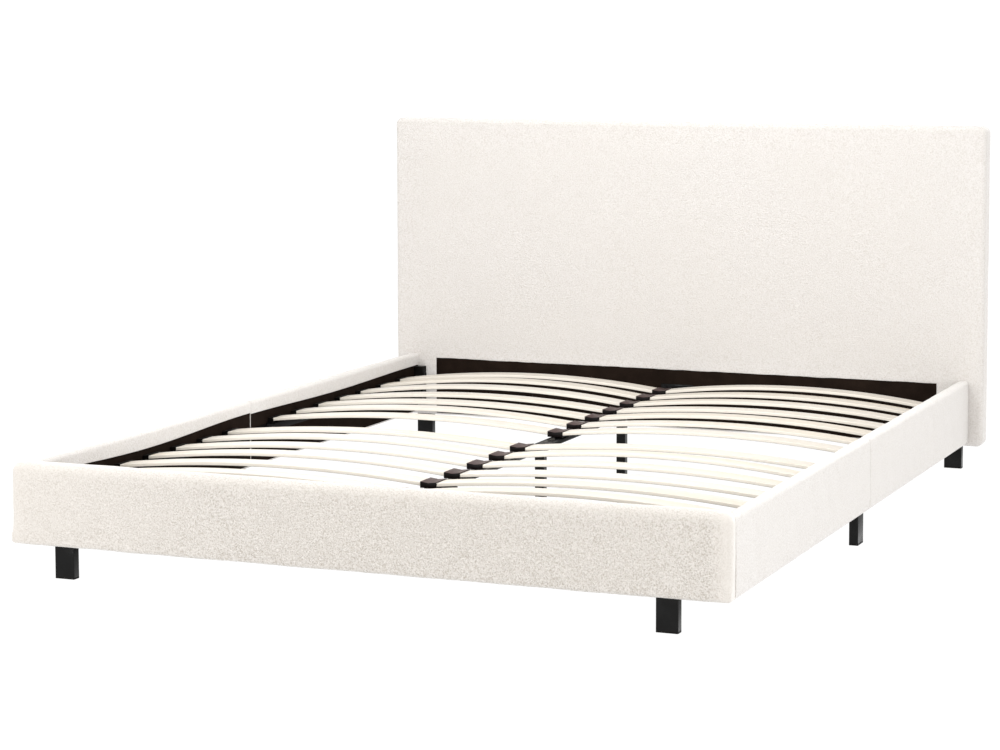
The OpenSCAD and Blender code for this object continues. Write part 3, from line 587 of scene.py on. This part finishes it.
def footboard_cover():
    """Rounded slab with larger upper corners. Below the turned-in strip its inner face steps back for
    the lining."""
    cloth = bpy.context.scene.bed_cloth
    lowest, highest = span("footboard_upholstery")
    lining_high = high("footboard_lining")
    step = (-0.004, -0.003, -0.002, -0.001, 0.0, 0.001, 0.002)
    xs = spaced(lowest[0], highest[0], 0.010, cloth.foot_corner, [
        s * (lining_high[0] + d) for s in (-1, 1) for d in step])
    zs = spaced(lowest[2], highest[2], 0.010, cloth.foot_corner, [lining_high[2] + d for d in step])
    ys = spaced(lowest[1], highest[1], 0.006, cloth.foot_rim,
                highest[1] - np.linspace(0, cloth.back_rim, 6))
    points, faces = skin_lattice(xs, ys, zs)
    flat = points.copy()
    # Large roundings above, small ones below, and the smallest on the mattress side
    middle = (lowest[2] + highest[2]) / 2
    upwards = ease((points[:, 2] - lowest[2] - 0.02) / 0.02)
    rim = cloth.low_rim + (cloth.foot_rim - cloth.low_rim) * upwards
    corner = np.where(points[:, 2] > middle, cloth.foot_corner, rim)
    rim = np.where(points[:, 1] < (lowest[1] + highest[1]) / 2, rim, cloth.back_rim)
    points, away = round_slab(points, lowest, highest, corner, rim)
    x, z = flat[:, 0], flat[:, 2]
    front, back = np.clip(-away[:, 1], 0, 1), np.clip(away[:, 1], 0, 1)
    # The swell dies out over 80 mm towards the ends
    across = np.clip(np.abs(z - middle) / (highest[2] - middle), 0, 1)
    points[:, 1] -= front * (1 - across ** 3) * ease((highest[0] - np.abs(x)) / 0.08) * cloth.crown
    recess = highest[1] - lining_high[1] + SEAT_BELOW
    seat = ease((lining_high[0] - np.abs(x)) / 0.004) * ease((lining_high[2] - z) / 0.004)
    points[:, 1] -= back * seat * recess
    uneven = unevenness(points, (0.13, 5, 0.0007), (0.04, 6, 0.0004))
    points += away * (uneven * (1 - back))[:, None]
    board_low, board_high = span("footboard_board")
    points, faces = add_cavity(points, faces, board_low - SLAB_PLAY,
                               board_high + (SLAB_PLAY, LINING_PLAY, SLAB_PLAY),
                               cloth.foot_corner - (board_low - lowest)[0])
    return make_piece("footboard_cover", points, faces)


def rail_profile(inner, outer, bottom, top, seat_x, turn_z, rim):
    """Closed outline of a padded rail in x and z: rounded at its corners, and stepped back to seat_x on
    the inside below turn_z. The fabric's edge there is a small round fold, and a point close above it
    keeps the flat face's shading flat."""
    def arc(cx, cz, r, start, end, count):
        t = np.radians(np.linspace(start, end, count))
        return np.column_stack([cx + r * np.cos(t), cz + r * np.sin(t)])

    def line(a, b, step):
        t = np.linspace(0, 1, max(2, int(round(math.dist(a, b) / step)) + 1))[1:-1, None]
        return np.array(a) + t * (np.array(b) - np.array(a))

    fold = (seat_x - inner) * 0.48
    above_fold = (inner, turn_z + fold + 0.0005)
    low_r = 0.004
    return np.concatenate([
        arc(outer - rim, top - rim, rim, 0, 90, 9),
        line((outer - rim, top), (inner + rim, top), 0.005),
        arc(inner + rim, top - rim, rim, 90, 180, 9),
        line((inner, top - rim), above_fold, 0.006),
        [above_fold],
        arc(inner + fold, turn_z + fold, fold, 180, 270, 5),
        line((inner + fold, turn_z), (seat_x, turn_z), 0.0012),
        [(seat_x, turn_z)],
        line((seat_x, turn_z), (seat_x, bottom + low_r), 0.010),
        arc(seat_x + low_r, bottom + low_r, low_r, 180, 270, 5),
        line((seat_x + low_r, bottom), (outer - rim, bottom), 0.006),
        arc(outer - rim, bottom + rim, rim, 270, 360, 9),
        line((outer, bottom + rim), (outer, top - rim), 0.010)])


def turned_edge(y, half):
    """Height of a rail's turned-in edge over its line: one slow cosine, half as high on the rear half."""
    cloth = bpy.context.scene.bed_cloth
    wave = cloth.edge_wave * (1.0 if half == "front" else 0.5)
    return cloth.edge_lift + wave * np.cos(2 * math.pi * (y + 0.03) / cloth.edge_length)


def rail_stations(start, end, rims):
    """Places along a rail, and how far its outline draws in at each: along a quarter circle of the
    given radius at either end. The places name both ends once more, for the closing rings."""
    turns = np.linspace(0, math.pi / 2, 6)
    near, drawn = 1 - np.sin(turns), 1 - np.cos(turns)
    count = int(round((end - start) / 0.010))
    between = np.linspace(start + rims[0], end - rims[1], count)
    ys = np.concatenate([[start], start + rims[0] * near[::-1][:-1], between,
                         end - rims[1] * near[1:], [end]])
    return ys, np.concatenate([rims[0] * drawn[::-1][:-1], np.zeros(count), rims[1] * drawn[1:]])


def rail_cover(side, half):
    """The outline of a padded rail swept along the bed and closed on its middle line at both ends. Then
    the turned-in edge gets its slow wave, the outside swells, and the rear half folds a little where it
    meets the headboard."""
    cloth = bpy.context.scene.bed_cloth
    node, board = f"rail_upholstery_{side}_{half}", f"rail_board_{side}_{half}"
    lowest, highest = span(node)
    turn = high("footboard_lining")[2]
    sign = 1 if side == "right" else -1
    inner, outer = sorted((abs(lowest[0]), abs(highest[0])))
    seat_x = abs(low(board)[0] if sign > 0 else high(board)[0])
    outline = rail_profile(inner, outer, lowest[2], highest[2], seat_x, turn, cloth.rim)
    rims = (cloth.end_rim, cloth.joint_rim) if half == "front" else (cloth.joint_rim, cloth.end_rim)
    ys, inset = rail_stations(lowest[1], highest[1], rims)
    middle = np.array([(inner + outer) / 2, (lowest[2] + highest[2]) / 2])
    half_size = np.array([(outer - inner) / 2, (highest[2] - lowest[2]) / 2])
    rings = middle + (outline - middle) * (1 - inset[:, None, None] / half_size)
    closing = np.column_stack([np.full(len(outline), middle[0]), np.clip(
        outline[:, 1], middle[1] - half_size[1] + half_size[0], middle[1] + half_size[1] - half_size[0])])
    rings = np.concatenate([closing[None], rings, closing[None]])
    points = np.column_stack([rings[..., 0].ravel(), np.repeat(ys, len(outline)), rings[..., 1].ravel()])
    # x, y and z are views, so a move of theirs moves the points
    x, y, z = points.T
    # What lies above the turned-in edge moves with it up to the rim, and 30 mm of the seat below it
    inside = np.tile(outline[:, 0] <= seat_x + 1e-6, len(rings))
    over = z - turn
    above = (over - 0.004) / (highest[2] - cloth.rim - turn - 0.004)
    near = 1 - ease(np.where(over > 0, above, -over / 0.03))
    z += inside * near * turned_edge(y, half)
    across = np.clip(np.abs(z - middle[1]) / half_size[1], 0, 1)
    outside = np.clip((x - middle[0]) / half_size[0], 0, 1) ** 4
    x += outside * (1 - across ** 3) * cloth.crown
    soft = unevenness(points, (0.12, 11 + len(node), 0.0007), (0.04, 12, 0.0004))
    x += outside * soft
    top_side = ease((z - highest[2] + 0.02) / 0.018)
    z += top_side * soft
    if half == "rear":
        # Slanting folds, one every 35 mm, that die out from the headboard
        away = highest[1] - y
        fold = np.sin(away / 0.0055 + x * 60) * np.exp(-away / 0.035) * ease(away / 0.006)
        z += top_side * fold * TOP_FOLD
        x += outside * ease((z - highest[2] + 0.05) / 0.05) * fold * SIDE_FOLD
    x *= sign
    faces = grid_faces(len(ys), len(outline), wrap=True)
    if sign > 0:
        faces = faces[:, ::-1]
    points, faces = add_cavity(points, faces, low(board) - RAIL_PLAY, high(board) + RAIL_PLAY)
    return weld(make_piece(f"rail_cover_{side}_{half}", points, faces))


def weld(piece):
    """Merges points that lie together and drops what shrinks to nothing; returns the piece."""
    mesh = bmesh.new()
    mesh.from_mesh(piece.data)
    bmesh.ops.remove_doubles(mesh, verts=mesh.verts, dist=1e-6)
    bmesh.ops.dissolve_degenerate(mesh, edges=mesh.edges, dist=1e-7)
    mesh.to_mesh(piece.data)
    mesh.free()
    return piece


# ---- linings ----

UP = np.array((0.0, 0.0, 1.0))
# Height of a sheet's ripples and of its frayed edge
RIPPLE, FRAY = 0.00035, 0.0009
# How far the rails' sheets lie from the boards
RAIL_SHEET = 0.0006


def lining_sheet(name, corner, along, facing, size, frayed=False, rise=None):
    """One layer of cloth from a corner, size[0] along and size[1] up, with small ripples out of its
    plane. A frayed sheet has an uneven upper edge; rise gives the height that a place along the sheet
    adds to its upper edge, and the rows below take their share of it."""
    corner, along, facing = [np.array(v, float) for v in (corner, along, facing)]
    us = np.linspace(0, size[0], max(2, int(size[0] / 0.012)))
    vs = np.linspace(0, size[1], max(2, int(size[1] / 0.012)))
    u, v = np.meshgrid(us, vs, indexing="ij")
    points = corner + u.reshape(-1, 1) * along + v.reshape(-1, 1) * UP
    inside = ease(np.minimum(v, size[1] - v) / 0.03).ravel()
    ripple = (waves(points, 0.09, 21) * 0.5 + waves(points * (1, 1, 0.3), 0.03, 22) * 0.5) * inside
    points += facing * (ripple[:, None] * RIPPLE)
    if rise is not None:
        points += (rise(u) * v / size[1]).reshape(-1, 1) * UP
    if frayed:
        rng = np.random.default_rng(7)
        edge = np.convolve(rng.normal(size=len(us) + 6), np.ones(3) / 3, "same")[3:-3] * FRAY
        points += np.where(v > size[1] - 1e-6, edge[:, None], 0).reshape(-1, 1) * UP
    faces = grid_faces(len(us), len(vs))
    if np.dot(np.cross(along, UP), facing) < 0:
        faces = faces[:, ::-1]
    return make_piece(name, points, faces, np.column_stack([u.ravel(), v.ravel()])[faces.ravel()])


# ---- slats ----

# Whole millimetres by which each slat rises above the nominal rise, counted from the foot
BEND = {"left": (-3, -5, -5, -3, -4, -3, -6, -4, -2, -4, -3, 2, 4, 1),
        "right": (0, 0, -4, -6, -4, 2, -4, -2, -2, 0, -3, 0, 1, 4)}


def slat_section(half_w, bar, r):
    """Outline of a slat cut across: a rectangle half_w to each side and bar thick, its edges rounded."""
    corner = np.linspace(0, math.pi / 2, 5)
    quarter = np.column_stack([np.cos(corner), np.sin(corner)]) * r
    core = np.array([half_w - r, bar / 2 - r])
    flats = np.linspace(-core[0], core[0], 9)[1:-1]
    return np.concatenate([
        quarter + core, np.column_stack([flats[::-1], np.full(7, bar / 2)]),
        quarter[::-1] * (-1, 1) + core * (-1, 1), -quarter - core,
        np.column_stack([flats, np.full(7, -bar / 2)]), quarter[::-1] * (1, -1) + core * (1, -1)])


def slat_piece(side, number):
    """Arched slat: a rounded rectangle swept along a circle's arc between the two caps. The circle's
    radius is chord squared over eight rises, plus half the rise."""
    wood = bpy.context.scene.bed_wood
    name = f"slat_{side}_{number:02d}"
    lowest, highest = span(name)
    sign = 1 if side == "right" else -1
    inner, outer = sorted((abs(lowest[0]), abs(highest[0])))
    crest, half_w = highest[2], (highest[1] - lowest[1]) / 2
    run = outer - inner
    tilt = math.atan(wood.lift / run)
    chord = math.hypot(run, wood.lift)
    rise = wood.rise + BEND[side][number - 1] / 1000
    radius = chord * chord / 8 / rise + rise / 2
    end_turn = math.asin(chord / 2 / radius)
    turns = np.linspace(-end_turn, end_turn, 61)
    bar, r = wood.thickness, wood.edge
    section = slat_section(half_w, bar, r)
    end_step = wood.end_edge / radius
    stations = np.concatenate([[turns[0]] * 2, [turns[0] + end_step], turns[1:-1],
                               [turns[-1] - end_step], [turns[-1]] * 2])
    inset = np.zeros(len(stations))
    inset[[0, -1]], inset[[1, -2]] = bar / 2, wood.end_edge
    rings = np.sign(section) * np.maximum(np.abs(section) - inset[:, None, None], 0)
    along = radius - bar / 2 + rings[..., 1]
    x = along * np.sin(stations)[:, None]
    z = along * np.cos(stations)[:, None] + rise - radius
    turned_x = (inner + outer) / 2 + x * math.cos(tilt) + z * math.sin(tilt)
    turned_z = crest - wood.rise - x * math.sin(tilt) + z * math.cos(tilt)
    y = (lowest[1] + highest[1]) / 2 + rings[..., 0]
    points = np.column_stack([sign * turned_x.ravel(), y.ravel(), turned_z.ravel()])
    faces = grid_faces(len(stations), len(section), wrap=True)
    if sign < 0:
        faces = faces[:, ::-1]
    # Metres along and around, moved by the slat's number so that no two slats share their grain
    around = np.concatenate([[0], np.cumsum(np.linalg.norm(np.diff(section, axis=0), axis=1))])
    reached = (stations * radius)[:, None] + number * 1.7 + sign
    uv = np.stack(np.broadcast_arrays(reached, around + number), -1)
    piece = make_piece(name + "_wood", points, faces, uv.reshape(-1, 2)[faces.ravel()])
    layer = rings[..., 1] / bar + 0.5
    edge = np.clip((np.abs(rings[..., 0]) - (half_w - r)) / (r * 0.3), 0, 1)
    edge[[0, 1, -2, -1]] = 1
    for attribute, value in (("layer", layer), ("side", edge)):
        data = piece.data.attributes.new(attribute, "FLOAT", "POINT").data
        data.foreach_set("value", value.astype(np.float32).ravel())
    return weld(piece)


# ---- moulded and steel parts ----

def rounded_copy(node, width):
    """Copy of a CAD node with its sharp edges rounded by a bevel of this width."""
    mesh = bmesh.new()
    mesh.from_mesh(NODES[node].data)
    bmesh.ops.remove_doubles(mesh, verts=mesh.verts, dist=2e-6)
    bmesh.ops.dissolve_limit(mesh, angle_limit=math.radians(0.6), verts=mesh.verts, edges=mesh.edges)
    bmesh.ops.recalc_face_normals(mesh, faces=mesh.faces)
    data = bpy.data.meshes.new(node + "_rounded")
    mesh.to_mesh(data)
    mesh.free()
    data.shade_smooth()
    piece = bpy.data.objects.new(node + "_rounded", data)
    bpy.context.scene.collection.objects.link(piece)
    bevel = piece.modifiers.new("Bevel", "BEVEL")
    bevel.width, bevel.segments = width, 2
    bevel.limit_method, bevel.angle_limit = "ANGLE", math.radians(40)
    bevel.use_clamp_overlap = True
    bevel.harden_normals = True
    return piece


def dress(node, finish):
    """Gives a CAD node that stays a finished material."""
    slots = NODES[node].data.materials
    if not slots:
        slots.append(finish)
    for index in range(len(slots)):
        slots[index] = finish


# ---- operators ----

class BED_OT_covers(bpy.types.Operator):
    """Builds the six padded covers"""

    bl_idname = "bed.covers"
    bl_label = "Covers"

    def execute(self, context):
        # The footboard keeps the full painted hollow shade and crest highlights; the tighter copy on the
        # headboard and rails has them weaker, a paler lit copy for their flatter light
        loose = material(loop_fabric, "loop_fabric", 1.0, 0.9, foot_share)
        tight_lit = material(loop_fabric, "tight_fabric", 0.45, 0.55)
        pieces = [(headboard_cover(), "headboard_upholstery", tight_lit),
                  (footboard_cover(), "footboard_upholstery", loose)]
        pieces += [(rail_cover(side, half), f"rail_upholstery_{side}_{half}", tight_lit)
                   for side in ("left", "right") for half in ("front", "rear")]
        for piece, node, fabric in pieces:
            place_piece(piece, [node], fabric)
        return {"FINISHED"}


class BED_OT_linings(bpy.types.Operator):
    """Stretches the black cloth over the inner faces and the headboard's back"""

    bl_idname = "bed.linings"
    bl_label = "Linings"

    def execute(self, context):
        cloth = material(spun_lining)
        # Sheet, CAD node, the way it faces along Y, and its plane's place along Y
        for name, node, facing, y in (
                ("headboard_band", "headboard_lining", -1, low("headboard_lining")[1] + 0.0003),
                ("footboard_band", "footboard_lining", 1, low("footboard_lining")[1] + 0.0010),
                ("back_cloth", "headboard_back_cloth", 1, high("headboard_back_cloth")[1] - 0.0004)):
            a, b = span(node)
            size = (b[0] - a[0], b[2] - a[2])
            corner = (a[0] if facing < 0 else b[0], y, a[2])
            piece = lining_sheet(name, corner, (-facing, 0, 0), (0, facing, 0), size,
                                 frayed=node == "headboard_lining")
            place_piece(piece, [node], cloth)
        self.line_rails(cloth)
        return {"FINISHED"}

    def line_rails(self, cloth):
        """One sheet on each half rail; they stop a little short of the joint between the halves."""
        a, b = span("rail_linings")
        middle = high("rail_upholstery_left_front")[1]
        gap = bpy.context.scene.bed_cloth.lining_gap
        inner = abs(high("rail_board_left_front")[0]) - RAIL_SHEET
        for side, sign in (("left", -1), ("right", 1)):
            for half, y0, y1 in (("front", a[1], middle - gap), ("rear", middle + gap, b[1])):
                size = (y1 - y0, b[2] - a[2])
                piece = lining_sheet(f"rail_lining_{side}_{half}", (sign * inner, y0, a[2]), (0, 1, 0),
                                     (-sign, 0, 0), size,
                                     rise=lambda u, y0=y0, half=half: turned_edge(y0 + u, half))
                place_piece(piece, ["rail_linings"], cloth)
                mean = float(turned_edge(np.linspace(y0, y1, 200), half).mean())
                size[1] + mean


class BED_OT_slats(bpy.types.Operator):
    """Sweeps the twenty-eight arched slats"""

    bl_idname = "bed.slats"
    bl_label = "Slats"

    def execute(self, context):
        wood = material(slat_wood)
        for side, bends in BEND.items():
            for number in range(1, len(bends) + 1):
                place_piece(slat_piece(side, number), [f"slat_{side}_{number:02d}"], wood)
        return {"FINISHED"}


class BED_OT_hardware(bpy.types.Operator):
    """Rounds the edges of caps, beam, ledges, legs and blocks, and finishes the hidden frame"""

    bl_idname = "bed.hardware"
    bl_label = "Caps, steel and frame"

    def execute(self, context):
        steel = material(powder_coat, "powder_coat", 1.0)
        # Each moulded finish's second colour is a painted top light, shown where a face looks up
        black = material(moulded, "satin_black", (0.004, 0.0035, 0.003), (0.008, 0.007, 0.006), 0.45)
        # A blacker copy of the powder coat: painted shade for the ledges and joint plates, which lie in
        # shade
        painted_lighting = material(powder_coat, "dull_coat", 0.3)
        cap = rgb(context.scene.bed_dark.cap)
        brown = material(moulded, "cap_plastic", cap, tinted(cap, 15), 0.36)
        # Finish, record slot, and the width of the bevel on each node
        for finish, slot, widths in (
                (brown, "brown_plastic", {"centre_slat_caps": 0.0006}),
                (black, "black_plastic", {
                    "side_slat_caps": 0.0005, "corner_blocks": 0.0012, "leg_glides": 0.0006}),
                (painted_lighting, "black_steel", {"slat_ledges": 0.0005, "rail_joint_plates": 0.0005}),
                (steel, "black_steel", {
                    "centre_beam_front": 0.0004, "centre_beam_rear": 0.0004, "beam_joiner": 0.0005,
                    "beam_hangers": 0.0005, "corner_legs": 0.0007, "middle_legs": 0.0007,
                    "centre_legs": 0.0006})):
            for node, width in widths.items():
                place_piece(rounded_copy(node, width), [node], finish)
        wood, pine = material(chipboard), material(sawn_pine)
        for node in NODES:
            if node.startswith("rail_board") or node in ("headboard_panel", "footboard_board"):
                dress(node, wood)
        for node in ("headboard_cross_battens", "headboard_uprights"):
            dress(node, pine)
        dress("frame_bolts", steel)
        return {"FINISHED"}


# Name, place, aim, size, power in watts and colour of each soft light
LIGHTS = (
    ("top", (0, -1.5, 2.9), (0, 0, 0.3), (2.6, 1.6), 46, (0.92, 0.96, 1.0)),
    ("right", (2.6, -2.2, 0.50), (0.85, -0.9, 0.2), (4.0, 0.7), 31, (0.95, 0.98, 1.0)),
    ("left", (-1.6, -3.4, 0.9), (-0.8, -1.07, 0.2), (0.8, 0.8), 32, (0.97, 0.985, 1.0)),
    ("side", (2.4, 0.6, 0.80), (0.86, 0.5, 0.25), (1.4, 0.7), 4.6, (0.95, 0.98, 1.0)),
    ("crown", (0, 0.5, 2.4), (0, 0.4, 0), (1.6, 0.9), 15, (0.95, 0.98, 1.0)),
    ("head", (0.1, -0.7, 0.90), (0.1, 1.0, 0.2), (1.6, 0.4), 5.0, (0.95, 0.98, 1.0)))


class BED_OT_stage(bpy.types.Operator):
    """Sets up the white floor, soft lights and the camera"""

    bl_idname = "bed.stage"
    bl_label = "Stage"

    def execute(self, context):
        self.add_floor()
        self.add_lights()
        self.add_camera()
        return {"FINISHED"}

    def add_floor(self):
        """White floor that also glows a little, as under a light table."""
        g = Graph("studio_floor")
        speck = g.noise(g.place(), 0.6, 2)
        colour = g.mix(speck, (0.11, 0.11, 0.11), (0.13, 0.13, 0.13))
        glowing = g.finish(Base_Color=colour, Roughness=0.9, Specular_IOR_Level=0.0,
                           Emission_Color=(1, 1, 1, 1), Emission_Strength=0.93)
        reach = 40.0
        corners = [(x * reach, y * reach, 0) for x, y in ((-1, -1), (1, -1), (1, 1), (-1, 1))]
        floor = make_piece("floor", corners, [(0, 1, 2, 3)])
        floor.data.materials.append(glowing)

    def add_lights(self):
        """A warm room with a white backdrop behind the headboard, and the table's soft lights."""
        world = bpy.data.worlds.new("studio")
        bpy.context.scene.world = world
        g = Graph("studio", world)
        direction = g.add("ShaderNodeTexCoord", out="Generated")
        to_head, up = [g.add("ShaderNodeSeparateXYZ", None, {0: direction}, axis) for axis in "YZ"]
        backdrop = g.ramp(to_head, (0.0, 0.0), (0.35, 1.0))
        room = g.ramp(up, (0.0, (0.88, 0.84, 0.785)), (0.4, (0.76, 0.72, 0.67)))
        glow = g.mix(backdrop, room, (1, 1, 1))
        sky = g.add("ShaderNodeBackground", None, {"Color": glow, "Strength": backdrop * 0.6 + 1.0})
        output = g.tree.nodes.new("ShaderNodeOutputWorld")
        g.tree.links.new(sky.socket, output.inputs["Surface"])
        for name, place, target, size, power, tone in LIGHTS:
            data = bpy.data.lights.new(name, "AREA")
            data.shape, data.energy, data.color = "RECTANGLE", power, tone
            data.size, data.size_y = size
            light = bpy.data.objects.new(name, data)
            light.location = place
            aim = Vector([b - a for a, b in zip(place, target)])
            light.rotation_euler = aim.to_track_quat("-Z", "Y").to_euler()
            light.visible_camera = False
            bpy.context.scene.collection.objects.link(light)

    def add_camera(self):
        """Camera of the stage's values, level sideways."""
        stage = bpy.context.scene.bed_stage
        data = bpy.data.cameras.new("camera")
        data.sensor_width, data.lens = 36, stage.lens
        data.shift_x, data.shift_y = stage.shift
        data.clip_end = 200
        camera = bpy.data.objects.new("camera", data)
        camera.location = stage.camera_at
        camera.rotation_euler = Euler((math.pi / 2 - stage.pitch, 0, stage.yaw))
        bpy.context.scene.collection.objects.link(camera)
        bpy.context.scene.camera = camera
        bpy.context.scene.view_settings.view_transform = "Standard"


STEPS = (BED_OT_covers, BED_OT_linings, BED_OT_slats, BED_OT_hardware, BED_OT_stage)
GROUPS = (("bed_cloth", BedCloth), ("bed_wood", BedWood), ("bed_dark", BedDark), ("bed_stage", BedStage))


class BED_PT_panel(bpy.types.Panel):
    """Buttons and sizes of the bed"""

    bl_idname = "BED_PT_panel"
    bl_label = "Upholstered Bed"
    bl_space_type = "VIEW_3D"
    bl_region_type = "UI"
    bl_category = "Bed"

    def draw(self, context):
        for step in STEPS:
            self.layout.operator(step.bl_idname)
        for name, group in GROUPS:
            box = self.layout.box()
            box.label(text=group.__doc__)
            for key in group.__annotations__:
                box.prop(getattr(context.scene, name), key)


def register():
    """Adds the properties, operators and panel."""
    for name, group in GROUPS:
        bpy.utils.register_class(group)
        setattr(bpy.types.Scene, name, bpy.props.PointerProperty(type=group))
    for item in (*STEPS, BED_PT_panel):
        bpy.utils.register_class(item)


def unregister():
    """Takes them away again, last first."""
    for item in (BED_PT_panel, *reversed(STEPS)):
        bpy.utils.unregister_class(item)
    for name, group in reversed(GROUPS):
        delattr(bpy.types.Scene, name)
        bpy.utils.unregister_class(group)


def main():
    """Builds the bed and the stage."""
    register()
    for step in STEPS:
        getattr(bpy.ops.bed, step.bl_idname.split(".")[1])()


if __name__ == "__main__":
    main()
